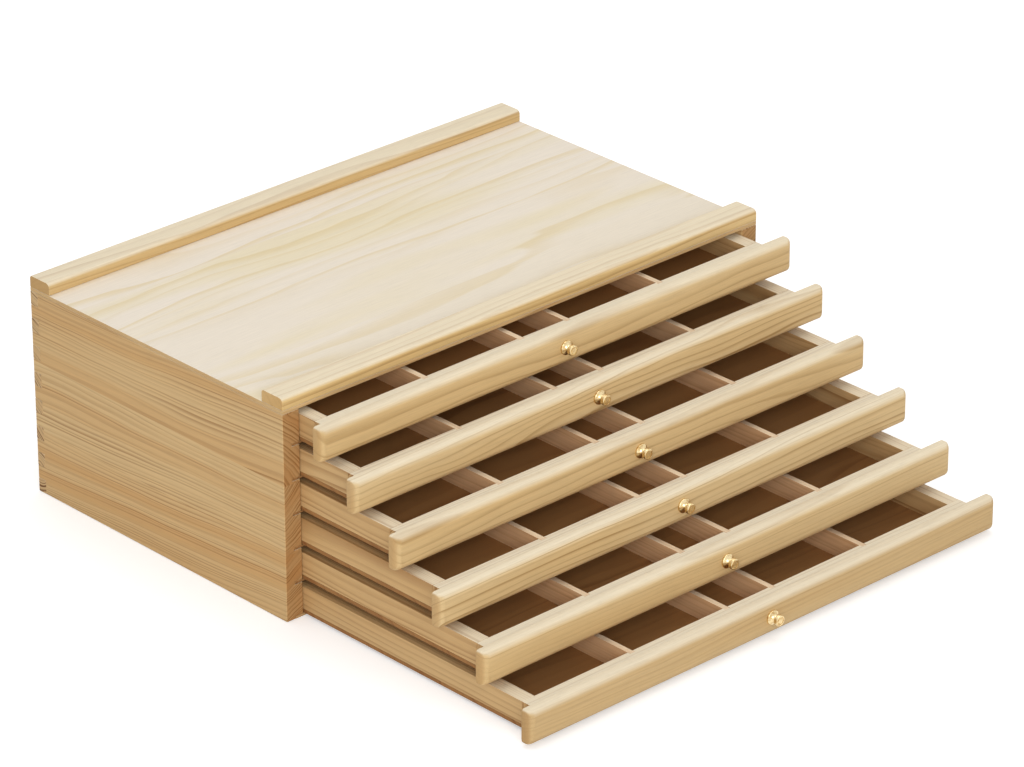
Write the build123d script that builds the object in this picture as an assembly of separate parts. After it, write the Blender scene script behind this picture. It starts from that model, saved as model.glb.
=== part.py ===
"""Pencil drawer box: a low pine cabinet with six full-width shallow drawers.

Millimetres. X runs along the drawer fronts, +Y is the back, +Z is up. The origin is the centre of
the cabinet's footprint on the table. The drawers stand open in steps, the top one least.
"""
import os

from build123d import *

# Cabinet, outside
cabinet_width = 400
cabinet_depth = 240
cabinet_height = 150.5

# Cabinet boards
side_thickness = 13
back_thickness = 7
top_panel_thickness = 2.5
rail_height = 8
rail_depth = 19
rail_front_round = 3
rail_back_round = 2
board_edge_round = 0.6

# Finger joint between the back and the sides: an odd number of equal units, the outer two on the back
finger_units = 15

# Runner strips, let into saw cuts in the sides. The bottom panel is the lowest drawer's runner.
runner_thickness = 1.6
runner_housing_depth = 6
runner_projection = 6

# Drawers
drawer_count = 6
drawer_length_kept_in = 18
drawer_open_shares = [0.12, 0.259, 0.432, 0.608, 0.786, 0.969]
side_clearance = 0.5
slide_clearance = 0.3
back_clearance = 3
drawer_side_thickness = 10
drawer_side_height = 15.3
drawer_back_thickness = 10
inner_front_thickness = 12
drawer_bottom_thickness = 2.5
drawer_edge_round = 0.5

# Dividers: four per drawer, a narrow compartment in the middle and two wide ones each side
divider_thickness = 4
divider_housing_depth = 2
middle_compartment_width = 35

# Overlay fronts
front_thickness = 8.5
front_side_inset = 1
front_gap = 0.6
front_foot_above_floor = 2
front_face_round = 5
front_end_round = 2
front_back_round = 0.8

# Knob and its screw
knob_height_in_bay = 14
knob_base_diameter = 9.5
knob_base_thickness = 1.2
knob_neck_diameter = 4
knob_neck_end = 4.4
knob_head_diameter = 7
knob_length = 7
knob_edge_round = 0.4
knob_ring_outer_diameter = 5.2
knob_ring_width = 0.7
knob_ring_depth = 0.3
screw_diameter = 3
screw_head_diameter = 6
screw_head_height = 1.8
screw_head_round = 0.6
screw_recess_width = 0.9
screw_recess_length = 3.4
screw_recess_depth = 1
screw_hole_clearance = 0.2
knob_thread_clearance = 0.02
screw_grip_in_knob = 4
knob_thread_end_space = 0.6

# Derived sizes
side_height = cabinet_height - rail_height - top_panel_thickness
half_width = cabinet_width / 2
front_plane = -cabinet_depth / 2
back_plane = cabinet_depth / 2
back_inner_plane = back_plane - back_thickness
inner_half_width = half_width - side_thickness
bay_height = side_height / drawer_count
finger_height = side_height / finger_units
top_panel_top = side_height + top_panel_thickness
front_width = cabinet_width - 2 * front_side_inset
front_height = bay_height - front_gap
drawer_half_width = inner_half_width - side_clearance
runner_end = back_inner_plane - back_clearance
drawer_length = runner_end - front_plane
drawer_travel = drawer_length - drawer_length_kept_in
drawer_floor = runner_thickness + slide_clearance
drawer_board_foot = drawer_floor + drawer_bottom_thickness
drawer_board_top = drawer_board_foot + drawer_side_height
box_half_width = drawer_half_width - drawer_side_thickness
wide_compartment_width = (2 * box_half_width - middle_compartment_width - 4 * divider_thickness) / 4
inner_divider_x = (middle_compartment_width + divider_thickness) / 2
outer_divider_x = inner_divider_x + divider_thickness + wide_compartment_width
divider_positions = [-outer_divider_x, -inner_divider_x, inner_divider_x, outer_divider_x]
screw_hole_radius = screw_diameter / 2 + screw_hole_clearance
knob_thread_radius = screw_diameter / 2 + knob_thread_clearance


def block(x_range, y_range, z_range):
    """A box given by its low and high limits on each axis."""
    size = [high - low for low, high in (x_range, y_range, z_range)]
    middle = [(high + low) / 2 for low, high in (x_range, y_range, z_range)]
    return Pos(*middle) * Box(*size)


def bay_floor(number):
    """Height of the floor of a drawer's bay, drawer 1 being the top one."""
    return (drawer_count - number) * bay_height


def runner_z_range(number):
    """Low and high limits of a drawer's runner. The bottom panel takes the lowest one's place."""
    return bay_floor(number), bay_floor(number) + runner_thickness


def knob_hole(y_range, radius):
    """A round hole for the knob's screw, along Y, in a drawer's own frame."""
    length = y_range[1] - y_range[0]
    middle = (y_range[0] + y_range[1]) / 2
    return Pos(0, middle, knob_height_in_bay) * Rot(90, 0, 0) * Cylinder(radius, length)


def left_side_panel():
    """Side board with saw cuts for the runners and notches for the back's fingers."""
    outer, inner = -half_width, -inner_half_width
    panel = block((outer, inner), (front_plane, back_plane), (0, side_height))
    front_edges = panel.edges().filter_by(Axis.Z).group_by(Axis.Y)[0]
    panel = fillet(front_edges, board_edge_round)
    for unit in range(0, finger_units, 2):
        z_range = (unit * finger_height, (unit + 1) * finger_height)
        panel -= block((outer, inner), (back_inner_plane, back_plane), z_range)
    housing = (inner - runner_housing_depth, inner)
    for number in range(1, drawer_count):
        panel -= block(housing, (front_plane, runner_end), runner_z_range(number))
    return panel - block(housing, (front_plane, back_inner_plane), runner_z_range(drawer_count))


def back_panel():
    """Back board, full width, with fingers through both sides."""
    panel = block((-half_width, half_width), (back_inner_plane, back_plane), (0, side_height))
    for unit in range(1, finger_units, 2):
        z_range = (unit * finger_height, (unit + 1) * finger_height)
        for x_range in ((-half_width, -inner_half_width), (inner_half_width, half_width)):
            panel -= block(x_range, (back_inner_plane, back_plane), z_range)
    return panel


def top_panel():
    """Thin top over the sides and the back."""
    panel = block((-half_width, half_width), (front_plane, back_plane), (side_height, top_panel_top))
    return fillet(panel.edges().filter_by(Axis.Z), board_edge_round)


def bottom_panel():
    """Thin bottom in rebates in the sides, level with their feet."""
    reach = inner_half_width + runner_housing_depth
    return block((-reach, reach), (front_plane, back_inner_plane), runner_z_range(drawer_count))


def front_rail():
    """Lip along the top's front edge, its top edges rounded."""
    y_range = (front_plane, front_plane + rail_depth)
    rail = block((-half_width, half_width), y_range, (top_panel_top, cabinet_height))
    rail = fillet(rail.edges().group_by(Axis.Z)[-1].filter_by(Axis.X).sort_by(Axis.Y)[0], rail_front_round)
    return fillet(rail.edges().group_by(Axis.Z)[-1].filter_by(Axis.X).sort_by(Axis.Y)[-1], rail_back_round)


def rear_rail():
    """The same lip along the back edge, its larger round towards the front as well."""
    return Pos(0, cabinet_depth - rail_depth, 0) * front_rail()


def left_runners():
    """Five strips in the left side's saw cuts. The lowest drawer runs on the bottom panel."""
    x_range = (-inner_half_width - runner_housing_depth, -inner_half_width + runner_projection)
    strips = []
    for number in range(1, drawer_count):
        strips.append(block(x_range, (front_plane, runner_end), runner_z_range(number)))
    return strips


def drawer_front():
    """Overlay front in the drawer's frame: its back face is at Y 0, the bay's floor at Z 0."""
    foot = front_foot_above_floor
    front = block((-front_width / 2, front_width / 2), (-front_thickness, 0), (foot, foot + front_height))
    front = fillet(front.faces().sort_by(Axis.Y)[0].edges(), front_face_round)
    front = fillet(front.edges().filter_by(Axis.Y), front_end_round)
    front = fillet(front.faces().sort_by(Axis.Y)[-1].edges(), front_back_round)
    return front - knob_hole((-front_thickness, 0), screw_hole_radius)


def divider_housings(y_range):
    """Slots that take the ends of the dividers."""
    slots = []
    for x in divider_positions:
        x_range = (x - divider_thickness / 2, x + divider_thickness / 2)
        slots.append(block(x_range, y_range, (drawer_board_foot, drawer_board_top)))
    return slots


def drawer_inner_front():
    """Front board of the drawer's box, the full width of the box."""
    y_range = (0, inner_front_thickness)
    x_range = (-drawer_half_width, drawer_half_width)
    board = block(x_range, y_range, (drawer_board_foot, drawer_board_top))
    board = fillet(board.edges().filter_by(Axis.Z).group_by(Axis.Y)[-1], drawer_edge_round)
    for slot in divider_housings((inner_front_thickness - divider_housing_depth, inner_front_thickness)):
        board -= slot
    return board - knob_hole(y_range, screw_hole_radius)


def drawer_back():
    """Back board of the drawer's box, the full width of the box."""
    inner = drawer_length - drawer_back_thickness
    x_range = (-drawer_half_width, drawer_half_width)
    board = block(x_range, (inner, drawer_length), (drawer_board_foot, drawer_board_top))
    board = fillet(board.edges().filter_by(Axis.Z).group_by(Axis.Y)[-1], drawer_edge_round)
    for slot in divider_housings((inner, inner + divider_housing_depth)):
        board -= slot
    return board


def drawer_sides():
    """Two side boards between the inner front and the back."""
    boards = []
    y_range = (inner_front_thickness, drawer_length - drawer_back_thickness)
    for x_range in ((-drawer_half_width, -box_half_width), (box_half_width, drawer_half_width)):
        board = block(x_range, y_range, (drawer_board_foot, drawer_board_top))
        top_edges = board.edges().group_by(Axis.Z)[-1].filter_by(Axis.Y)
        boards.append(fillet(top_edges, drawer_edge_round))
    return boards


def drawer_bottom():
    """Plywood bottom under all four boards, its edges showing below the sides."""
    x_range = (-drawer_half_width, drawer_half_width)
    return block(x_range, (0, drawer_length), (drawer_floor, drawer_board_foot))


def drawer_dividers():
    """Four thin boards along Y, their ends housed in the inner front and the back."""
    y_range = (
        inner_front_thickness - divider_housing_depth,
        drawer_length - drawer_back_thickness + divider_housing_depth,
    )
    boards = []
    for x in divider_positions:
        x_range = (x - divider_thickness / 2, x + divider_thickness / 2)
        boards.append(block(x_range, y_range, (drawer_board_foot, drawer_board_top)))
    return boards


def drawer_knob():
    """Turned knob: a flared foot, a thin neck and a flat round head with a ring cut in its face."""
    outline = Polyline(
        (0, 0),
        (knob_base_diameter / 2, 0),
        (knob_base_diameter / 2, knob_base_thickness),
        (knob_neck_diameter / 2, knob_neck_end - knob_base_thickness),
        (knob_neck_diameter / 2, knob_neck_end),
        (knob_head_diameter / 2, knob_neck_end),
        (knob_head_diameter / 2, knob_length),
        (0, knob_length),
        close=True,
    )
    knob = revolve(Plane.XZ * make_face(outline), Axis.Z)
    wide_edges = knob.edges().filter_by(GeomType.CIRCLE)
    head_edges = wide_edges.filter_by(lambda edge: abs(edge.radius - knob_head_diameter / 2) < 0.01)
    knob = fillet(head_edges, knob_edge_round)
    ring_outer = knob_ring_outer_diameter / 2
    ring = Cylinder(ring_outer, knob_ring_depth) - Cylinder(ring_outer - knob_ring_width, knob_ring_depth)
    knob -= Pos(0, 0, knob_length - knob_ring_depth / 2) * ring
    bore_depth = screw_grip_in_knob + knob_thread_end_space
    knob -= Pos(0, 0, bore_depth / 2) * Cylinder(knob_thread_radius, bore_depth)
    return Pos(0, -front_thickness, knob_height_in_bay) * Rot(90, 0, 0) * knob


def drawer_screw():
    """Pan-head screw from inside the drawer, through both fronts into the knob."""
    shank_length = inner_front_thickness + front_thickness + screw_grip_in_knob
    screw = Pos(0, 0, shank_length / 2) * Cylinder(screw_diameter / 2, shank_length)
    head = Pos(0, 0, -screw_head_height / 2) * Cylinder(screw_head_diameter / 2, screw_head_height)
    head = fillet(head.edges().group_by(Axis.Z)[0], screw_head_round)
    recess = Box(screw_recess_length, screw_recess_width, screw_recess_depth)
    recess += Box(screw_recess_width, screw_recess_length, screw_recess_depth)
    screw = screw + head - Pos(0, 0, screw_recess_depth / 2 - screw_head_height) * recess
    return Pos(0, inner_front_thickness, knob_height_in_bay) * Rot(90, 0, 0) * screw


def as_list(shape):
    """A node's solids as a plain list."""
    return list(shape) if isinstance(shape, list) else [shape]


def write_node(name, solids):
    """Write one node's solids to its own STEP file."""
    solids = [piece for shape in solids for piece in shape.solids()]
    export_step(Compound(children=solids) if len(solids) > 1 else solids[0], f"parts/{name}.step")


os.makedirs("parts", exist_ok=True)

across_x = Plane.YZ
cabinet_nodes = {
    "left_side_panel": left_side_panel(),
    "right_side_panel": mirror(left_side_panel(), about=across_x),
    "back_panel": back_panel(),
    "top_panel": top_panel(),
    "bottom_panel": bottom_panel(),
    "front_rail": front_rail(),
    "rear_rail": rear_rail(),
    "left_runners": left_runners(),
    "right_runners": [mirror(strip, about=across_x) for strip in left_runners()],
}
for name, shape in cabinet_nodes.items():
    write_node(name, as_list(shape))

drawer_nodes = {
    "front": drawer_front(),
    "inner_front": drawer_inner_front(),
    "back": drawer_back(),
    "sides": drawer_sides(),
    "bottom": drawer_bottom(),
    "dividers": drawer_dividers(),
    "knob": drawer_knob(),
    "screw": drawer_screw(),
}
for number, open_share in enumerate(drawer_open_shares, start=1):
    place = Pos(0, front_plane - open_share * drawer_travel, bay_floor(number))
    for name, shape in drawer_nodes.items():
        write_node(f"drawer_{number}_{name}", [place * piece for piece in as_list(shape)])
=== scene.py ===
"""Pencil drawer box: a low pine cabinet with six shallow drawers, standing open in steps.

Metres. X runs along the drawer fronts, +Y is the back, +Z is up, and the cabinet's foot is at Z 0.
"""
import math

import bmesh
import bpy
from mathutils import Euler, Matrix, Vector


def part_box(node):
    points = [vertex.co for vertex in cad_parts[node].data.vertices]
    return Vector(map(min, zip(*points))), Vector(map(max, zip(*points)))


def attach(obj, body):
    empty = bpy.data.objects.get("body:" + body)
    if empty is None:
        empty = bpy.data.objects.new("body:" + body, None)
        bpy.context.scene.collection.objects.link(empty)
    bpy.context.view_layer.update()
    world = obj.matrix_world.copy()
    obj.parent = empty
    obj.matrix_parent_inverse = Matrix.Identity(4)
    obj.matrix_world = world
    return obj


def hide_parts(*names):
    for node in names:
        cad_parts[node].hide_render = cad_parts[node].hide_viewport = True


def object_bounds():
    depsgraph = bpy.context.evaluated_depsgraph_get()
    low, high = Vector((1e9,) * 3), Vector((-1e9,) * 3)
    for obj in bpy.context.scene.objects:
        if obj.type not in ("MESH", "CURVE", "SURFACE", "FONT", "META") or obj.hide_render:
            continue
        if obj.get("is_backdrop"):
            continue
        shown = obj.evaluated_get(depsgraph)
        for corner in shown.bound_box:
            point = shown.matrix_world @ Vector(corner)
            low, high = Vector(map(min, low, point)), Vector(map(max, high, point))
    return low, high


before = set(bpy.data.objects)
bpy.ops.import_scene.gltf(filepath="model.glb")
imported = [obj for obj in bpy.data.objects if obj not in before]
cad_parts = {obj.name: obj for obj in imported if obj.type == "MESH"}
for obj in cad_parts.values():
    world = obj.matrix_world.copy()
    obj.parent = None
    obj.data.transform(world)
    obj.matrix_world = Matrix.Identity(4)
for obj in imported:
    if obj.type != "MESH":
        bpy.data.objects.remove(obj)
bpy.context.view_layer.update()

MM = 0.001


# Cabinet sides
# Two solid pine boards, grain from front to back, with saw cuts inside for the runner strips and
# notches at the back for the finger joint. They are sawn out, glued up and sanded by hand.

SIDE_EASE = 0.45 * MM
SHARP_CORNER = math.radians(35)
FLAT_ENOUGH = math.radians(2)
SAME_POINT = 0.001 * MM
EASE_STEPS = 2


def ease_corners(shape, edges, radius, steps):
    """Round the given edges of a board the way sandpaper leaves them."""
    bmesh.ops.bevel(
        shape,
        geom=edges,
        offset=radius,
        offset_type="OFFSET",
        affect="EDGES",
        segments=steps,
        profile=0.5,
        material=-1,
        clamp_overlap=True,
    )


def outward_corners(shape):
    """The edges where two faces of a board meet at a clear outward corner."""
    corners = []
    for edge in shape.edges:
        if edge.is_manifold and edge.is_convex and edge.calc_face_angle(0) > SHARP_CORNER:
            corners.append(edge)
    return corners


def finished_piece(name, shape, material, body, nodes):
    """Turn a shape into a piece of the scene that rides on a body and stands for its plain solids."""
    mesh = bpy.data.meshes.new(name)
    shape.normal_update()
    shape.to_mesh(mesh)
    shape.free()
    mesh.polygons.foreach_set("use_smooth", [True] * len(mesh.polygons))
    mesh.set_sharp_from_angle(angle=SHARP_CORNER)
    mesh.materials.append(material)
    piece = bpy.data.objects.new(name, mesh)
    bpy.context.collection.objects.link(piece)
    even_shading = piece.modifiers.new("even shading", "WEIGHTED_NORMAL")
    even_shading.keep_sharp = True
    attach(piece, body)
    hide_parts(*nodes)
    return piece


def board_from_solid(node, radius):
    """A copy of a solid with joints cut in it, merged into clean faces, with its outward corners eased."""
    shape = bmesh.new()
    shape.from_mesh(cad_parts[node].data)
    bmesh.ops.remove_doubles(shape, verts=shape.verts, dist=SAME_POINT)
    bmesh.ops.dissolve_limit(shape, angle_limit=FLAT_ENOUGH, verts=shape.verts, edges=shape.edges)
    ease_corners(shape, outward_corners(shape), radius, EASE_STEPS)
    return shape


def colour(red, green, blue):
    """A colour written as the 0 to 255 values of a photograph, as the linear values the nodes take."""
    linear = []
    for value in (red, green, blue):
        share = value / 255
        linear.append(share / 12.92 if share <= 0.04045 else ((share + 0.055) / 1.055) ** 2.4)
    return (*linear, 1)


def add_node(tree, kind, **settings):
    """A node in a tree, with its settings."""
    node = tree.nodes.new(kind)
    for setting, value in settings.items():
        setattr(node, setting, value)
    return node


def calculate(tree, operation, *inputs):
    """A Math node. Each input is a number or another node's output."""
    node = add_node(tree, "ShaderNodeMath", operation=operation)
    for place, value in enumerate(inputs):
        plug(tree, value, node.inputs[place])
    return node.outputs[0]


def plug(tree, value, socket):
    """Link an output to a socket, or write a plain value on it."""
    if isinstance(value, bpy.types.NodeSocket):
        tree.links.new(value, socket)
    else:
        socket.default_value = value


def rescale(tree, value, low, high, to_low=0.0, to_high=1.0):
    """Ease a value from one range to another."""
    node = add_node(tree, "ShaderNodeMapRange", interpolation_type="SMOOTHSTEP")
    plug(tree, value, node.inputs["Value"])
    node.inputs["From Min"].default_value = low
    node.inputs["From Max"].default_value = high
    node.inputs["To Min"].default_value = to_low
    node.inputs["To Max"].default_value = to_high
    return node.outputs["Result"]


def stretched_noise(tree, place, stretch, detail, roughness=0.5):
    """Noise whose spots are drawn out along the grain. The stretch is in cycles per millimetre."""
    scaled = add_node(tree, "ShaderNodeVectorMath", operation="MULTIPLY")
    tree.links.new(place, scaled.inputs[0])
    scaled.inputs[1].default_value = stretch
    noise = add_node(tree, "ShaderNodeTexNoise")
    tree.links.new(scaled.outputs[0], noise.inputs["Vector"])
    noise.inputs["Scale"].default_value = 1
    noise.inputs["Detail"].default_value = detail
    noise.inputs["Roughness"].default_value = roughness
    return noise


def mix_colour(tree, blend, share, first, second):
    """A colour Mix node."""
    node = add_node(tree, "ShaderNodeMix", data_type="RGBA", blend_type=blend)
    plug(tree, share, node.inputs[0])
    plug(tree, first, node.inputs[6])
    plug(tree, second, node.inputs[7])
    return node.outputs[2]


# Spots of noise along and across the grain, in cycles per millimetre. Each drift has its own share.
DRIFTS = (((0.0035, 0.015, 0.015), 1.0), ((0.014, 0.08, 0.08), 0.15))
LINE_FADING = (0.006, 0.05, 0.05)
FIBRES = (0.035, 1.9, 1.9)
PORES = (0.11, 4.2, 4.2)
CLOUDS = (0.003, 0.026, 0.026)
# The value of each noise at which its mark starts, and at which it is full.
FADING_SPAN = (0.3, 0.6)
BAND_SPAN = (0.45, 0.65)
FIBRE_SPAN = (0.3, 0.7)
PORE_SPAN = (0.66, 0.78)
CLOUD_SPAN = (0.45, 0.7)
# Rings vary in width, and in groups, as good and poor years follow each other.
YEAR_PACE = 0.31
YEAR_SPREAD = 2.6
DECADE_PACE = 0.17
# A line starts at the first share of its ring, is darkest at the second and ends with the ring.
LINE_START = 0.1
LINE_PEAK = 0.9
FAINTEST_LINE = 0.3
FAINTEST_STRETCH = 0.5
# How much of the ring lines the painted top light washes out where it is full.
LINE_LEFT_OUT_BY_PAINTED_LIGHT = 0.65
FIBRE_CONTRAST = 0.2
PORE_CONTRAST = 0.14
END_GRAIN_TINT = (0.62, 0.45, 0.3, 1)
SANDED_ROUGHNESS = 0.54
FIBRE_ROUGHNESS = 0.12
LATE_WOOD_POLISH = 0.1
END_ROUGHNESS = 0.15
LATE_WOOD_RELIEF = 0.5
FIBRE_RELIEF = 0.35
PORE_RELIEF = 0.6


def make_pine_figure():
    """Sawn pine: rings around the tree's heart, which runs along X, cut through by the board's faces.

    Place is in millimetres from the heart. The late wood of each ring is the dark line. End is 1 on end
    grain, where End Lines makes the lines stronger, or fainter if it is below 0. Up is 1 on faces that
    look up, which get painted light: they are mixed towards Pale, a washed-out colour that stands in for
    the sheen of the overhead lamp. Stave gives the direction of the glued strips that make a wide panel,
    in strips per millimetre, and each strip is cut from another place, up to Cut Shift away.
    """
    tree = bpy.data.node_groups.new("pine figure", "ShaderNodeTree")
    sockets = (
        ("Place", "NodeSocketVector", (0, 0, 0)),
        ("Stave", "NodeSocketVector", (0, 0, 0)),
        ("Cut Shift", "NodeSocketVector", (900, 34, 34)),
        ("Strip Seed", "NodeSocketFloat", 0.0),
        ("Strip Tone", "NodeSocketFloat", 0.0),
        ("End", "NodeSocketFloat", 0.0),
        ("Up", "NodeSocketFloat", 0.0),
        ("Early Wood", "NodeSocketColor", (0.8, 0.7, 0.5, 1)),
        ("Late Wood", "NodeSocketColor", (0.6, 0.4, 0.2, 1)),
        ("Flush", "NodeSocketColor", (0.8, 0.7, 0.4, 1)),
        ("Pale", "NodeSocketColor", (0.8, 0.78, 0.7, 1)),
        ("Ring Width", "NodeSocketFloat", 3.0),
        ("Wander", "NodeSocketFloat", 6.0),
        ("Line Strength", "NodeSocketFloat", 0.7),
        ("Line Sharpness", "NodeSocketFloat", 1.6),
        ("Flush Strength", "NodeSocketFloat", 0.4),
        ("Band Strength", "NodeSocketFloat", 0.3),
        ("Fibre Strength", "NodeSocketFloat", 0.5),
        ("End Darkness", "NodeSocketFloat", 0.3),
        ("End Lines", "NodeSocketFloat", 0.5),
        # The strength of the painted top light: how far faces that look up are mixed towards the pale
        # colour.
        ("Top Paleness", "NodeSocketFloat", 0.5),
    )
    for name, kind, value in sockets:
        tree.interface.new_socket(name, in_out="INPUT", socket_type=kind).default_value = value
    tree.interface.new_socket("Color", in_out="OUTPUT", socket_type="NodeSocketColor")
    tree.interface.new_socket("Roughness", in_out="OUTPUT", socket_type="NodeSocketFloat")
    tree.interface.new_socket("Height", in_out="OUTPUT", socket_type="NodeSocketFloat")
    given = add_node(tree, "NodeGroupInput").outputs
    result = add_node(tree, "NodeGroupOutput").inputs

    strip = add_node(tree, "ShaderNodeVectorMath", operation="DOT_PRODUCT")
    tree.links.new(given["Place"], strip.inputs[0])
    tree.links.new(given["Stave"], strip.inputs[1])
    strip_number = calculate(tree, "FLOOR", strip.outputs["Value"])
    cut_from = add_node(tree, "ShaderNodeTexWhiteNoise", noise_dimensions="1D")
    tree.links.new(calculate(tree, "ADD", strip_number, given["Strip Seed"]), cut_from.inputs["W"])
    either_way = add_node(tree, "ShaderNodeVectorMath", operation="MULTIPLY_ADD")
    tree.links.new(cut_from.outputs["Color"], either_way.inputs[0])
    either_way.inputs[1].default_value = (2, 2, 2)
    either_way.inputs[2].default_value = (-1, -1, -1)
    shift = add_node(tree, "ShaderNodeVectorMath", operation="MULTIPLY_ADD")
    tree.links.new(either_way.outputs[0], shift.inputs[0])
    tree.links.new(given["Cut Shift"], shift.inputs[1])
    tree.links.new(given["Place"], shift.inputs[2])
    start = shift.outputs[0]

    place = start
    for stretch, part in DRIFTS:
        drift = stretched_noise(tree, start, stretch, detail=1).outputs["Color"]
        centred = add_node(tree, "ShaderNodeVectorMath", operation="SUBTRACT")
        tree.links.new(drift, centred.inputs[0])
        centred.inputs[1].default_value = (0.5, 0.5, 0.5)
        across = add_node(tree, "ShaderNodeVectorMath", operation="MULTIPLY")
        tree.links.new(centred.outputs[0], across.inputs[0])
        across.inputs[1].default_value = (0, 2 * part, 2 * part)
        amount = add_node(tree, "ShaderNodeVectorMath", operation="SCALE")
        tree.links.new(across.outputs[0], amount.inputs[0])
        tree.links.new(given["Wander"], amount.inputs["Scale"])
        moved = add_node(tree, "ShaderNodeVectorMath", operation="ADD")
        tree.links.new(place, moved.inputs[0])
        tree.links.new(amount.outputs[0], moved.inputs[1])
        place = moved.outputs[0]
    flat = add_node(tree, "ShaderNodeVectorMath", operation="MULTIPLY")
    tree.links.new(place, flat.inputs[0])
    flat.inputs[1].default_value = (0, 1, 1)
    radius = add_node(tree, "ShaderNodeVectorMath", operation="LENGTH")
    tree.links.new(flat.outputs[0], radius.inputs[0])
    rings = calculate(tree, "DIVIDE", radius.outputs["Value"], given["Ring Width"])

    years = add_node(tree, "ShaderNodeTexNoise", noise_dimensions="1D")
    tree.links.new(calculate(tree, "MULTIPLY", rings, YEAR_PACE), years.inputs["W"])
    years.inputs["Scale"].default_value = 1
    years.inputs["Detail"].default_value = 2
    rings = calculate(tree, "ADD", rings, calculate(tree, "MULTIPLY", years.outputs[0], YEAR_SPREAD))
    phase = calculate(tree, "FRACT", rings)
    rise = calculate(tree, "POWER", rescale(tree, phase, LINE_START, LINE_PEAK), given["Line Sharpness"])
    late = calculate(tree, "MULTIPLY", rise, rescale(tree, phase, LINE_PEAK, 1.0, 1, 0))
    season = add_node(tree, "ShaderNodeTexWhiteNoise", noise_dimensions="1D")
    tree.links.new(calculate(tree, "FLOOR", rings), season.inputs["W"])
    season_depth = rescale(tree, season.outputs["Value"], 0.0, 1.0, FAINTEST_LINE, 1.0)
    late = calculate(tree, "MULTIPLY", late, season_depth)
    fading = stretched_noise(tree, start, LINE_FADING, detail=1).outputs[0]
    fading = rescale(tree, fading, *FADING_SPAN, FAINTEST_STRETCH, 1.0)
    late = calculate(tree, "MULTIPLY", late, fading)
    decades = add_node(tree, "ShaderNodeTexNoise", noise_dimensions="1D")
    tree.links.new(calculate(tree, "MULTIPLY", rings, DECADE_PACE), decades.inputs["W"])
    decades.inputs["Scale"].default_value = 1
    decades.inputs["Detail"].default_value = 1
    band = rescale(tree, decades.outputs[0], *BAND_SPAN)

    fibre = stretched_noise(tree, start, FIBRES, detail=3, roughness=0.6).outputs[0]
    fibre = rescale(tree, fibre, *FIBRE_SPAN)
    pores = stretched_noise(tree, start, PORES, detail=0).outputs[0]
    pores = rescale(tree, pores, *PORE_SPAN)
    cloud = stretched_noise(tree, start, CLOUDS, detail=2).outputs[0]
    cloud = rescale(tree, cloud, *CLOUD_SPAN)

    flush_share = calculate(tree, "MULTIPLY", cloud, given["Flush Strength"])
    band_share = calculate(tree, "MULTIPLY", band, given["Band Strength"])
    flush_share = calculate(tree, "MAXIMUM", flush_share, band_share)
    strip_share = calculate(tree, "MULTIPLY", cut_from.outputs["Value"], given["Strip Tone"])
    flush_share = calculate(tree, "MINIMUM", calculate(tree, "ADD", flush_share, strip_share), 1.0)
    shade = mix_colour(tree, "MIX", flush_share, given["Early Wood"], given["Flush"])
    # Painted light: faces that look up are mixed towards the pale colour, in place of the overhead lamp's
    # sheen, and their ring lines fade with it.
    top_light_share = calculate(tree, "MULTIPLY", given["Up"], given["Top Paleness"])
    shade = mix_colour(tree, "MIX", top_light_share, shade, given["Pale"])
    line_share = calculate(tree, "MULTIPLY", late, given["Line Strength"])
    on_end = calculate(tree, "ADD", calculate(tree, "MULTIPLY", given["End"], given["End Lines"]), 1.0)
    line_share = calculate(tree, "MULTIPLY", line_share, on_end)
    on_top = calculate(tree, "MULTIPLY_ADD", top_light_share, -LINE_LEFT_OUT_BY_PAINTED_LIGHT, 1.0)
    line_share = calculate(tree, "MINIMUM", calculate(tree, "MULTIPLY", line_share, on_top), 1.0)
    shade = mix_colour(tree, "MIX", line_share, shade, given["Late Wood"])
    end_share = calculate(tree, "MULTIPLY", given["End"], given["End Darkness"])
    shade = mix_colour(tree, "MULTIPLY", end_share, shade, END_GRAIN_TINT)
    streak = calculate(tree, "SUBTRACT", fibre, 0.5)
    streak = calculate(tree, "MULTIPLY", streak, given["Fibre Strength"])
    streak = calculate(tree, "MULTIPLY_ADD", streak, FIBRE_CONTRAST, 1.0)
    pore_share = calculate(tree, "MULTIPLY", pores, given["Fibre Strength"])
    streak = calculate(tree, "SUBTRACT", streak, calculate(tree, "MULTIPLY", pore_share, PORE_CONTRAST))
    grey = add_node(tree, "ShaderNodeCombineColor")
    for channel in range(3):
        tree.links.new(streak, grey.inputs[channel])
    shade = mix_colour(tree, "MULTIPLY", 1.0, shade, grey.outputs[0])
    tree.links.new(shade, result["Color"])

    rough = calculate(tree, "MULTIPLY_ADD", fibre, FIBRE_ROUGHNESS, SANDED_ROUGHNESS)
    rough = calculate(tree, "SUBTRACT", rough, calculate(tree, "MULTIPLY", late, LATE_WOOD_POLISH))
    rough = calculate(tree, "MULTIPLY_ADD", given["End"], END_ROUGHNESS, rough)
    tree.links.new(rough, result["Roughness"])
    height = calculate(tree, "MULTIPLY", fibre, FIBRE_RELIEF)
    height = calculate(tree, "MULTIPLY_ADD", late, LATE_WOOD_RELIEF, height)
    height = calculate(tree, "SUBTRACT", height, calculate(tree, "MULTIPLY", pores, PORE_RELIEF))
    tree.links.new(height, result["Height"])
    return tree


PINE_FIGURE = make_pine_figure()
ALONG_X = (0, 0, 0)
ALONG_Y = (0, 0, math.radians(-90))
# Painted light: the pale colour that faces looking up are mixed towards, in place of the sheen the overhead
# lamp leaves on them.
PAINTED_TOP_LIGHT_COLOUR = colour(231, 219, 194)
PAINTED_LIGHT_FADE = 30 * MM
# How squarely a face looks along the grain, or up, where it starts to count and where it counts in full.
END_GRAIN_SPAN = (0.6, 0.95)
UPWARD_SPAN = (0.2, 0.9)
SANDED_GLOSS = 0.22
RELIEF_STRENGTH = 0.5
RELIEF_DEPTH = 0.12 * MM


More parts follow.
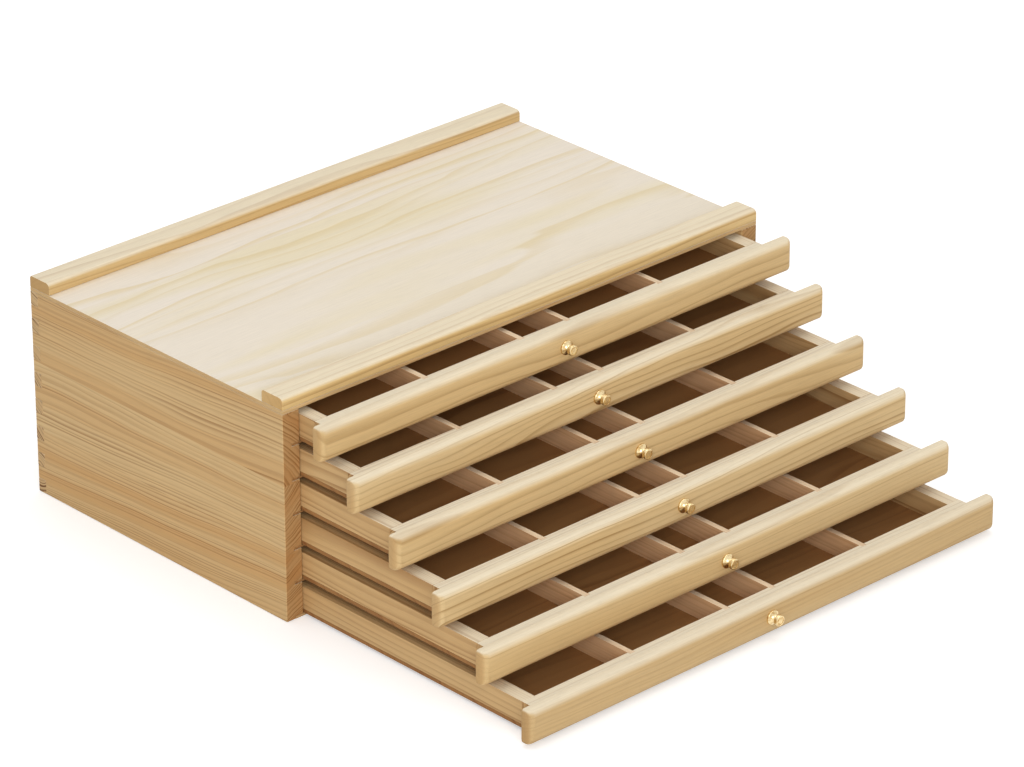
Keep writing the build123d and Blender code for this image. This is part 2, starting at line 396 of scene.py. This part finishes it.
def pine(name, grain, heart, early, late, flush, stave=(0, 0, 0), painted_light_to=None, **amounts):
    """A pine finish. The heart is where the tree's middle ran, in millimetres from the box's origin.

    Where a last Y is given, the painted top light reaches only to that Y; behind it, in the shade of
    the drawer above, the tops keep the wood's own tone, which stands in for that shade.
    """
    to_grain = Euler(grain).to_matrix()
    material = bpy.data.materials.new(name)
    material.use_nodes = True
    tree = material.node_tree
    surface = tree.nodes["Principled BSDF"]
    surface.inputs["Specular IOR Level"].default_value = SANDED_GLOSS
    position = add_node(tree, "ShaderNodeTexCoord")
    turned = add_node(tree, "ShaderNodeMapping", vector_type="POINT")
    tree.links.new(position.outputs["Object"], turned.inputs["Vector"])
    turned.inputs["Rotation"].default_value = grain
    turned.inputs["Scale"].default_value = (1 / MM, 1 / MM, 1 / MM)
    turned.inputs["Location"].default_value = to_grain @ -Vector(heart)
    face = add_node(tree, "ShaderNodeNewGeometry")
    along_grain = add_node(tree, "ShaderNodeVectorMath", operation="DOT_PRODUCT")
    tree.links.new(face.outputs["Normal"], along_grain.inputs[0])
    along_grain.inputs[1].default_value = to_grain.inverted() @ Vector((1, 0, 0))
    upward = add_node(tree, "ShaderNodeVectorMath", operation="DOT_PRODUCT")
    tree.links.new(face.outputs["Normal"], upward.inputs[0])
    upward.inputs[1].default_value = (0, 0, 1)
    figure = add_node(tree, "ShaderNodeGroup", node_tree=PINE_FIGURE)
    tree.links.new(turned.outputs[0], figure.inputs["Place"])
    either_end = calculate(tree, "ABSOLUTE", along_grain.outputs["Value"])
    tree.links.new(rescale(tree, either_end, *END_GRAIN_SPAN), figure.inputs["End"])
    facing_up = rescale(tree, upward.outputs["Value"], *UPWARD_SPAN)
    # Painted shade: behind the given Y the painted top light fades out, so the tops there look shaded.
    if painted_light_to is not None:
        apart = add_node(tree, "ShaderNodeSeparateXYZ")
        tree.links.new(position.outputs["Object"], apart.inputs[0])
        in_light = rescale(tree, apart.outputs["Y"], painted_light_to - PAINTED_LIGHT_FADE, painted_light_to, 1, 0)
        facing_up = calculate(tree, "MULTIPLY", facing_up, in_light)
    tree.links.new(facing_up, figure.inputs["Up"])
    figure.inputs["Early Wood"].default_value = early
    figure.inputs["Late Wood"].default_value = late
    figure.inputs["Flush"].default_value = flush
    figure.inputs["Pale"].default_value = PAINTED_TOP_LIGHT_COLOUR
    figure.inputs["Stave"].default_value = to_grain @ Vector(stave)
    for socket, value in amounts.items():
        figure.inputs[socket.replace("_", " ").title()].default_value = value
    relief = add_node(tree, "ShaderNodeBump")
    relief.inputs["Strength"].default_value = RELIEF_STRENGTH
    relief.inputs["Distance"].default_value = RELIEF_DEPTH
    tree.links.new(figure.outputs["Height"], relief.inputs["Height"])
    tree.links.new(figure.outputs["Color"], surface.inputs["Base Color"])
    tree.links.new(figure.outputs["Roughness"], surface.inputs["Roughness"])
    tree.links.new(relief.outputs["Normal"], surface.inputs["Normal"])
    return material


RISING_TO_FRONT = (math.radians(2.5), 0, math.radians(-90))
SIDE_STRIP_WIDTH = 47
SIDE_COLOURS = (colour(215, 184, 134), colour(158, 114, 64), colour(202, 158, 102))
# The sides take the default half-strength painted top light on faces that look up.
SIDE_AMOUNTS = dict(
    stave=(0, 0, 1 / SIDE_STRIP_WIDTH), strip_seed=33, cut_shift=(900, 25, 100), strip_tone=0.4,
    ring_width=2.3, wander=8, line_strength=0.95, line_sharpness=2.4, flush_strength=0.4, band_strength=0.6,
    end_darkness=0.62,
)
left_side_pine = pine("left side pine", RISING_TO_FRONT, (-240, 0, 45), *SIDE_COLOURS, **SIDE_AMOUNTS)
right_side_pine = pine("right side pine", RISING_TO_FRONT, (240, 0, 45), *SIDE_COLOURS, **SIDE_AMOUNTS)
for side, material in (("left", left_side_pine), ("right", right_side_pine)):
    node = f"{side}_side_panel"
    shape = board_from_solid(node, SIDE_EASE)
    finished_piece(f"{side}_side_board", shape, material, "cabinet", [node])


# Cabinet back
# One pine board, grain from side to side, with square fingers at both ends, glued into the notches.
# Their end grain shows on the sides as a row of blocks, each with its own rings.

BACK_EASE = 0.3 * MM
BACK_STRIP_WIDTH = 112 / 3
# The back takes the default half-strength painted top light on faces that look up.
back_pine = pine(
    "back pine", ALONG_X, (0, 148, 0), colour(217, 188, 142), colour(120, 82, 46), colour(204, 162, 108),
    stave=(0, 0, 1 / BACK_STRIP_WIDTH), strip_seed=9, cut_shift=(900, 44, 16), ring_width=2.2, wander=6,
    line_strength=0.5, line_sharpness=2.4, flush_strength=0.3, end_darkness=0.22, end_lines=1.8,
)
shape = board_from_solid("back_panel", BACK_EASE)
finished_piece("back_board", shape, back_pine, "cabinet", ["back_panel"])


# Runner strips
# Five thin hardwood strips on each side, pushed into the saw cuts with a little play. The drawers slide
# on them, and their ends show on the cabinet's front edges, each with a dark line beneath it.

RUNNER_EASE = 0.2 * MM
GROOVE_PLAY = Vector((0, 0, 0.45 * MM))
runner_wood = pine(
    "runner wood", ALONG_Y, (0, 0, -60), colour(188, 148, 100), colour(150, 108, 64), colour(170, 130, 82),
    ring_width=1.4, wander=2, line_strength=0.5, flush_strength=0.3, end_darkness=0.6, top_paleness=0,
)


def add_board(shape, low, high, radius):
    """Add a plain rectangular board to a shape, with all its corners eased, or left sharp at radius 0."""
    made = bmesh.ops.create_cube(shape, size=1)["verts"]
    bmesh.ops.scale(shape, vec=high - low, verts=made)
    bmesh.ops.translate(shape, vec=(low + high) / 2, verts=made)
    edges = {edge for vertex in made for edge in vertex.link_edges}
    if radius:
        ease_corners(shape, list(edges), radius, EASE_STEPS)


def solid_boxes(node):
    """The lowest and highest corner of each separate solid in a node, from left to right and down to up."""
    loose = bmesh.new()
    loose.from_mesh(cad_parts[node].data)
    bmesh.ops.remove_doubles(loose, verts=loose.verts, dist=SAME_POINT)
    boxes = []
    waiting = set(loose.verts)
    while waiting:
        found = {waiting.pop()}
        front = list(found)
        while front:
            for edge in front.pop().link_edges:
                for vertex in edge.verts:
                    if vertex in waiting:
                        waiting.discard(vertex)
                        found.add(vertex)
                        front.append(vertex)
        low = Vector([min(vertex.co[axis] for vertex in found) for axis in range(3)])
        high = Vector([max(vertex.co[axis] for vertex in found) for axis in range(3)])
        boxes.append((low, high))
    loose.free()
    return sorted(boxes, key=lambda box: (round(box[0].x, 4), round(box[0].z, 4)))


for side in ("left", "right"):
    node = f"{side}_runners"
    strips = bmesh.new()
    for low, high in solid_boxes(node):
        add_board(strips, low + GROOVE_PLAY, high, RUNNER_EASE)
    finished_piece(f"{side}_runner_strips", strips, runner_wood, "cabinet", [node])


# Cabinet bottom
# A thin plywood panel pushed from the front into rebates in the sides. The lowest drawer slides on it.

PLY_EASE = 0.15 * MM
ply_face = pine(
    "plywood face", ALONG_X, (0, 0, -420), colour(196, 160, 112), colour(150, 108, 66), colour(176, 134, 86),
    ring_width=9, wander=22, line_strength=0.5, flush_strength=0.5, end_darkness=0.5, top_paleness=0,
)
bottom = bmesh.new()
add_board(bottom, *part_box("bottom_panel"), PLY_EASE)
finished_piece("bottom_sheet", bottom, ply_face, "cabinet", ["bottom_panel"])


# Cabinet top
# A thin pine panel glued over the sides and the back, its figure broad and faint. Its faces that look up
# or down are painted very pale, a painted light in place of the overhead lamp's sheen; its edges keep the
# golden tone of the sides.

TOP_EASE = 0.5 * MM
TOP_STRIP_WIDTH = 66
LOOKS_UP_OR_DOWN = 0.9
# Painted light: the top's face colours are pale in place of the overhead lamp's sheen; the edges take the
# sides' colours.
top_pine_painted_light = pine(
    "top pine", ALONG_X, (0, -60, 60), colour(232, 221, 205), colour(216, 192, 134), colour(227, 212, 170),
    stave=(0, 1 / TOP_STRIP_WIDTH, 0), strip_seed=8, ring_width=11, wander=26, line_strength=0.5,
    line_sharpness=2.2, flush_strength=0.55, band_strength=0.15, fibre_strength=0.35, end_darkness=1,
    top_paleness=0,
)
top_edge_pine = pine(
    "top edge pine", ALONG_X, (0, -60, 60), *SIDE_COLOURS, ring_width=5, wander=12, line_strength=0.5,
    flush_strength=0.5, end_darkness=0.2, end_lines=-0.8, top_paleness=0,
)
top = bmesh.new()
add_board(top, *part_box("top_panel"), TOP_EASE)
sheet = finished_piece("top_sheet", top, top_pine_painted_light, "cabinet", ["top_panel"])
sheet.data.materials.append(top_edge_pine)
# Edges take the golden side colours, the faces that look up or down the painted pale ones.
for face in sheet.data.polygons:
    if abs(face.normal.z) < LOOKS_UP_OR_DOWN:
        face.material_index = 1


# Rails
# A low pine lip along the front and the back edge of the top, glued on, its upper edges rounded over.

RAIL_FRONT_ROUND = 3 * MM
RAIL_BACK_ROUND = 2 * MM
RAIL_EASE = 0.5 * MM
RAIL_ROUND_STEPS = 6
SAME_PLACE = 0.1 * MM


def rail_shape(low, high):
    """A rail with a larger round along its upper front edge than along its upper back edge."""
    shape = bmesh.new()
    add_board(shape, low, high, 0)
    for y, radius in ((low.y, RAIL_FRONT_ROUND), (high.y, RAIL_BACK_ROUND)):
        corner = Vector((y, high.z))
        upper = []
        for edge in shape.edges:
            if all((vertex.co.yz - corner).length < SAME_PLACE for vertex in edge.verts):
                upper.append(edge)
        ease_corners(shape, upper, radius, RAIL_ROUND_STEPS)
    ease_corners(shape, outward_corners(shape), RAIL_EASE, EASE_STEPS)
    return shape


FRONT_RAIL_COLOURS = (colour(232, 202, 146), colour(180, 136, 78), colour(220, 184, 120))
REAR_RAIL_COLOURS = (colour(214, 182, 128), colour(168, 124, 66), colour(206, 168, 104))
# The rails' tops get strong painted top light, a pale colour in place of the overhead lamp's sheen.
RAIL_AMOUNTS = dict(
    ring_width=3.6, wander=9, line_strength=0.6, line_sharpness=2.5, flush_strength=0.5, end_darkness=0.5,
    end_lines=-0.7, top_paleness=0.85,
)
front_rail_pine = pine("front rail pine", ALONG_X, (0, -168, 196), *FRONT_RAIL_COLOURS, **RAIL_AMOUNTS)
rear_rail_pine = pine("rear rail pine", ALONG_X, (0, 70, 104), *REAR_RAIL_COLOURS, **RAIL_AMOUNTS)
for node, material in (("front_rail", front_rail_pine), ("rear_rail", rear_rail_pine)):
    finished_piece(f"{node}_lip", rail_shape(*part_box(node)), material, "cabinet", [node])


# Drawer boxes
# Each drawer is a shallow pine box: a plywood bottom under all four boards, an inner front, a back
# and two sides, glued. Four thin dividers stand in slots cut in the inner front and the back.

DRAWERS = range(1, 7)
BOX_EASE = 0.3 * MM
# The drawer sides' tops get painted top light only this far behind the front; farther back, where the drawer
# above shades them, they are left without it, which stands in for that shade.
PAINTED_LIGHT_BEHIND_FRONT = 56 * MM
SIDE_HEART_HEIGHTS = [190, 82, 146, 20, 98, -62]
END_HEART_LIFT = 40
END_HEARTS_FROM = -300
END_HEARTS_APART = 60
BOX_COLOURS = (colour(210, 175, 124), colour(158, 112, 62), colour(198, 154, 98))
BOX_AMOUNTS = dict(
    ring_width=1.9, wander=4, line_strength=0.85, line_sharpness=2.2, flush_strength=0.35,
    end_darkness=0.2,
)
drawer_ply = pine(
    "drawer plywood", ALONG_X, (0, 0, -300), colour(166, 120, 72), colour(126, 80, 42), colour(144, 98, 56),
    ring_width=7, wander=20, line_strength=0.5, flush_strength=0.5, end_darkness=0.1, top_paleness=0,
)
# The dividers' tops get some painted top light.
divider_wood = pine(
    "divider wood", ALONG_Y, (0, 0, 260), colour(226, 184, 140), colour(188, 140, 94), colour(210, 164, 116),
    ring_width=3, wander=8, line_strength=0.5, flush_strength=0.4, end_darkness=0.1, top_paleness=0.6,
)

for number in DRAWERS:
    body = f"drawer_{number}"
    height = SIDE_HEART_HEIGHTS[number - 1]
    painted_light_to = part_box(f"{body}_front")[1].y + PAINTED_LIGHT_BEHIND_FRONT
    along_side = pine(
        f"drawer {number} side pine", ALONG_Y, (0, 0, height), *BOX_COLOURS, painted_light_to=painted_light_to,
        top_paleness=0.85, **BOX_AMOUNTS,
    )
    end_heart = (0, END_HEARTS_FROM + END_HEARTS_APART * number, height + END_HEART_LIFT)
    # The inner front and back get full painted top light on their tops.
    along_front = pine(
        f"drawer {number} end pine", ALONG_X, end_heart, *BOX_COLOURS, top_paleness=1, **BOX_AMOUNTS,
    )
    sheet = bmesh.new()
    add_board(sheet, *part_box(f"{body}_bottom"), PLY_EASE)
    finished_piece(f"{body}_ply_sheet", sheet, drawer_ply, body, [f"{body}_bottom"])
    sides = bmesh.new()
    for low, high in solid_boxes(f"{body}_sides"):
        add_board(sides, low, high, BOX_EASE)
    finished_piece(f"{body}_side_boards", sides, along_side, body, [f"{body}_sides"])
    for part in ("inner_front", "back"):
        node = f"{body}_{part}"
        shape = board_from_solid(node, BOX_EASE)
        finished_piece(f"{node}_board", shape, along_front, body, [node])
    node = f"{body}_dividers"
    dividers = bmesh.new()
    for low, high in solid_boxes(node):
        add_board(dividers, low, high, BOX_EASE)
    finished_piece(f"{body}_divider_boards", dividers, divider_wood, body, [node])


# Drawer fronts
# A pine board on the face of each drawer, wider than the box, its face rounded over on all four
# edges. It is held by the knob's screw and hides the ends of the runners when the drawer is shut.

FACE_ROUND = 5 * MM
FACE_ROUND_STEPS = 7
FRONT_BACK_ROUND = 0.8 * MM
FRONT_BACK_STEPS = 3
FRONT_END_ROUND = 2 * MM
FRONT_END_STEPS = 4
SHUT_GAP = Vector((0, 0.1 * MM, 0))
FRONT_COLOURS = (colour(219, 190, 141), colour(160, 120, 64), colour(210, 172, 112))
# Painted shade: the lowest front gets darker colours, to offset the extra light the floor throws on it.
LOWEST_FRONT_SHADED_COLOURS = (colour(206, 176, 128), colour(156, 114, 62), colour(198, 160, 104))
FRONT_CUTS = [
    dict(heart=(0, -196, 176), ring_width=6.5, wander=18, line_strength=0.62, line_sharpness=9),
    dict(heart=(400, -214, 72), ring_width=4.6, wander=22, line_strength=0.85, line_sharpness=9),
    dict(heart=(900, -262, 128), ring_width=6, wander=20, line_strength=0.55, line_sharpness=9),
    dict(heart=(1300, -308, 30), ring_width=2.8, wander=8, line_strength=0.85, line_sharpness=5),
    dict(heart=(1800, -330, 110), ring_width=3.4, wander=9, line_strength=0.45, line_sharpness=4),
    dict(heart=(2300, -380, -70), ring_width=2.6, wander=8, line_strength=0.4, line_sharpness=3),
]


def front_shape(low, high):
    """A front with a large round at the four edges of its face and a small one at its back."""
    shape = bmesh.new()
    add_board(shape, low, high, 0)
    rounds = ((low.y, FACE_ROUND, FACE_ROUND_STEPS), (high.y, FRONT_BACK_ROUND, FRONT_BACK_STEPS))
    for y, radius, steps in rounds:
        rim = [edge for edge in shape.edges if all(abs(v.co.y - y) < SAME_PLACE for v in edge.verts)]
        ease_corners(shape, rim, radius, steps)
    ends = [edge for edge in shape.edges if edge.calc_face_angle(0) > SHARP_CORNER]
    ease_corners(shape, ends, FRONT_END_ROUND, FRONT_END_STEPS)
    return shape


for number in DRAWERS:
    body = f"drawer_{number}"
    cut = dict(FRONT_CUTS[number - 1])
    colours = LOWEST_FRONT_SHADED_COLOURS if number == DRAWERS[-1] else FRONT_COLOURS
    # The fronts' rounded tops get strong painted top light.
    material = pine(
        f"drawer {number} front pine", ALONG_X, cut.pop("heart"), *colours,
        flush_strength=0.45, end_darkness=0.45, end_lines=-0.5, top_paleness=0.8, **cut,
    )
    node = f"{body}_front"
    low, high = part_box(node)
    shape = front_shape(low, high - SHUT_GAP)
    finished_piece(f"{node}_board", shape, material, body, [node])


# Knobs
# A small turned brass knob at the middle of each front: a flared foot, a thin neck and a flat round
# head with a shallow ring cut in its face, polished and lacquered.

KNOB_OUTLINE = [
    (0.0, 0.0), (4.75, 0.0), (4.75, 0.9), (4.55, 1.2), (3.7, 1.55), (2.7, 2.3), (2.1, 3.2), (2.0, 4.2),
    (2.15, 4.4), (3.2, 4.42), (3.45, 4.6), (3.5, 4.8), (3.5, 6.55), (3.38, 6.85), (3.1, 7.0),
    (2.6, 7.0), (2.5, 6.72), (2.0, 6.72), (1.9, 7.0), (0.0, 7.0),
]
KNOB_STEPS = 48
PATCHES = (0.5, 0.5, 0.5)
PATCH_SPAN = (0.4, 0.75)
PATCH_ROUGHNESS = 0.16
TURNING_MARKS = (0.6, 9, 0.6)
MARK_STRENGTH = 0.25
MARK_DEPTH = 0.03 * MM


def turned(outline, steps, centre, direction):
    """A shape turned on a lathe. The outline gives (radius, length) in millimetres along the direction."""
    shape = bmesh.new()
    last = None
    edges = []
    for radius, length in outline:
        vertex = shape.verts.new((radius * MM, 0, length * MM))
        if last:
            edges.append(shape.edges.new((last, vertex)))
        last = vertex
    bmesh.ops.spin(
        shape, geom=list(shape.verts) + edges, axis=(0, 0, 1), cent=(0, 0, 0),
        angle=2 * math.pi, steps=steps, use_merge=True,
    )
    bmesh.ops.remove_doubles(shape, verts=shape.verts, dist=SAME_POINT)
    bmesh.ops.recalc_face_normals(shape, faces=shape.faces)
    turn = Vector((0, 0, 1)).rotation_difference(Vector(direction)).to_matrix().to_4x4()
    bmesh.ops.transform(shape, matrix=Matrix.Translation(centre) @ turn, verts=shape.verts)
    return shape


def metal(name, base, dark, roughness, stretch):
    """A worked metal: fine turning marks and a slight dulling in patches."""
    material = bpy.data.materials.new(name)
    material.use_nodes = True
    tree = material.node_tree
    surface = tree.nodes["Principled BSDF"]
    surface.inputs["Metallic"].default_value = 1.0
    position = add_node(tree, "ShaderNodeTexCoord")
    scaled = add_node(tree, "ShaderNodeVectorMath", operation="SCALE")
    tree.links.new(position.outputs["Object"], scaled.inputs[0])
    scaled.inputs["Scale"].default_value = 1 / MM
    marks = stretched_noise(tree, scaled.outputs[0], stretch, detail=2).outputs[0]
    dull = stretched_noise(tree, scaled.outputs[0], PATCHES, detail=2).outputs[0]
    shade = mix_colour(tree, "MIX", rescale(tree, dull, *PATCH_SPAN), base, dark)
    tree.links.new(shade, surface.inputs["Base Color"])
    rough = calculate(tree, "MULTIPLY_ADD", dull, PATCH_ROUGHNESS, roughness)
    tree.links.new(rough, surface.inputs["Roughness"])
    relief = add_node(tree, "ShaderNodeBump")
    relief.inputs["Strength"].default_value = MARK_STRENGTH
    relief.inputs["Distance"].default_value = MARK_DEPTH
    tree.links.new(marks, relief.inputs["Height"])
    tree.links.new(relief.outputs["Normal"], surface.inputs["Normal"])
    return material


brass = metal(
    "knob brass", colour(238, 216, 168), colour(204, 168, 112), roughness=0.16, stretch=TURNING_MARKS,
)
for number in DRAWERS:
    body = f"drawer_{number}"
    low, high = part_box(f"{body}_knob")
    foot = Vector(((low.x + high.x) / 2, high.y, (low.z + high.z) / 2))
    shape = turned(KNOB_OUTLINE, KNOB_STEPS, foot, (0, -1, 0))
    finished_piece(f"{body}_brass_knob", shape, brass, body, [f"{body}_knob"])


# Screws
# One zinc-plated steel screw inside each drawer, through both fronts into the knob. It holds them all
# together. The plain solid stays, with a finish of its own.

PLATE_MARKS = (2, 2, 2)
zinc = metal(
    "zinc plate", colour(200, 200, 204), colour(160, 160, 166), roughness=0.25, stretch=PLATE_MARKS,
)
for number in DRAWERS:
    body = f"drawer_{number}"
    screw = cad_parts[f"{body}_screw"]
    screw.data.materials.clear()
    screw.data.materials.append(zinc)


# Floor, light and camera
# A plain pale floor in an even white room, lit by a softbox overhead and one in front on the left, and
# seen from the front left.

FLOOR_HALF = 6.0
FLOOR_DROP = 0.2 * MM
FLOOR_GREY = (0.8, 0.8, 0.8, 1)
FLOOR_ROUGHNESS = 0.9
FLOOR_GLOSS = 0.1
FLOOR_SEEN_GLOW = 0.4
SKY_LIGHT = 0.55
SKY_SEEN_EXTRA = 0.45
LAMP_AIM = (0, -0.1, 0.1)
floor_shape = bmesh.new()
bmesh.ops.create_grid(floor_shape, x_segments=1, y_segments=1, size=FLOOR_HALF)
bmesh.ops.translate(floor_shape, vec=(0, 0, -FLOOR_DROP), verts=floor_shape.verts)
floor_mesh = bpy.data.meshes.new("floor")
floor_shape.to_mesh(floor_mesh)
floor_shape.free()
floor = bpy.data.objects.new("floor", floor_mesh)
bpy.context.collection.objects.link(floor)
floor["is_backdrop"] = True

floor_paint = bpy.data.materials.new("floor paint")
floor_paint.use_nodes = True
tree = floor_paint.node_tree
matt = tree.nodes["Principled BSDF"]
matt.inputs["Base Color"].default_value = FLOOR_GREY
matt.inputs["Roughness"].default_value = FLOOR_ROUGHNESS
matt.inputs["Specular IOR Level"].default_value = FLOOR_GLOSS
glow = add_node(tree, "ShaderNodeEmission")
seen = add_node(tree, "ShaderNodeLightPath")
seen_at_all = calculate(tree, "MAXIMUM", seen.outputs["Is Camera Ray"], seen.outputs["Is Glossy Ray"])
tree.links.new(calculate(tree, "MULTIPLY", seen_at_all, FLOOR_SEEN_GLOW), glow.inputs["Strength"])
both = add_node(tree, "ShaderNodeAddShader")
tree.links.new(matt.outputs[0], both.inputs[0])
tree.links.new(glow.outputs[0], both.inputs[1])
tree.links.new(both.outputs[0], tree.nodes["Material Output"].inputs["Surface"])
floor_mesh.materials.append(floor_paint)

world = bpy.data.worlds.new("studio")
bpy.context.scene.world = world
world.use_nodes = True
tree = world.node_tree
sky = tree.nodes["Background"]
sky.inputs["Color"].default_value = (1, 1, 1, 1)
seen = add_node(tree, "ShaderNodeLightPath")
seen_at_all = calculate(tree, "MAXIMUM", seen.outputs["Is Camera Ray"], seen.outputs["Is Glossy Ray"])
seen_at_all = calculate(tree, "MAXIMUM", seen_at_all, seen.outputs["Is Transmission Ray"])
strength = calculate(tree, "MULTIPLY_ADD", seen_at_all, SKY_SEEN_EXTRA, SKY_LIGHT)
tree.links.new(strength, sky.inputs["Strength"])


def area_lamp(name, place, size, power):
    """A soft square lamp that points at the cabinet's front."""
    data = bpy.data.lights.new(name, "AREA")
    data.shape = "SQUARE"
    data.size = size
    data.energy = power
    lamp = bpy.data.objects.new(name, data)
    bpy.context.collection.objects.link(lamp)
    lamp.location = place
    lamp.rotation_euler = (Vector(LAMP_AIM) - Vector(place)).to_track_quat("-Z", "Y").to_euler()


area_lamp("overhead softbox", (0.3, 0.2, 2.6), size=2.2, power=24)
area_lamp("front softbox", (-1.6, -2.2, 1.3), size=1.6, power=34)

CAMERA_AZIMUTH = math.radians(-42.970)
CAMERA_ELEVATION = math.radians(26.086)
CAMERA_ROLL = math.radians(-0.138)
CAMERA_DISTANCE = 3.33155
CAMERA_TARGET = Vector((0.00057, -0.10462, 0.08819))
CAMERA_LENS = 188.20
CAMERA_SENSOR = 36
CAMERA_FARTHEST = 50

forward = Vector((
    -math.sin(CAMERA_AZIMUTH) * math.cos(CAMERA_ELEVATION),
    math.cos(CAMERA_AZIMUTH) * math.cos(CAMERA_ELEVATION),
    -math.sin(CAMERA_ELEVATION),
))
level = Vector((math.cos(CAMERA_AZIMUTH), math.sin(CAMERA_AZIMUTH), 0))
above = level.cross(forward)
right = math.cos(CAMERA_ROLL) * level + math.sin(CAMERA_ROLL) * above
upright = -math.sin(CAMERA_ROLL) * level + math.cos(CAMERA_ROLL) * above
camera_data = bpy.data.cameras.new("camera")
camera_data.sensor_width = CAMERA_SENSOR
camera_data.sensor_fit = "HORIZONTAL"
camera_data.lens = CAMERA_LENS
camera_data.clip_end = CAMERA_FARTHEST
camera = bpy.data.objects.new("camera", camera_data)
bpy.context.collection.objects.link(camera)
turn = Matrix((right, upright, -forward)).transposed().to_4x4()
camera.matrix_world = Matrix.Translation(CAMERA_TARGET - CAMERA_DISTANCE * forward) @ turn
bpy.context.scene.camera = camera
bpy.context.scene.view_settings.view_transform = "Standard"

low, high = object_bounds()
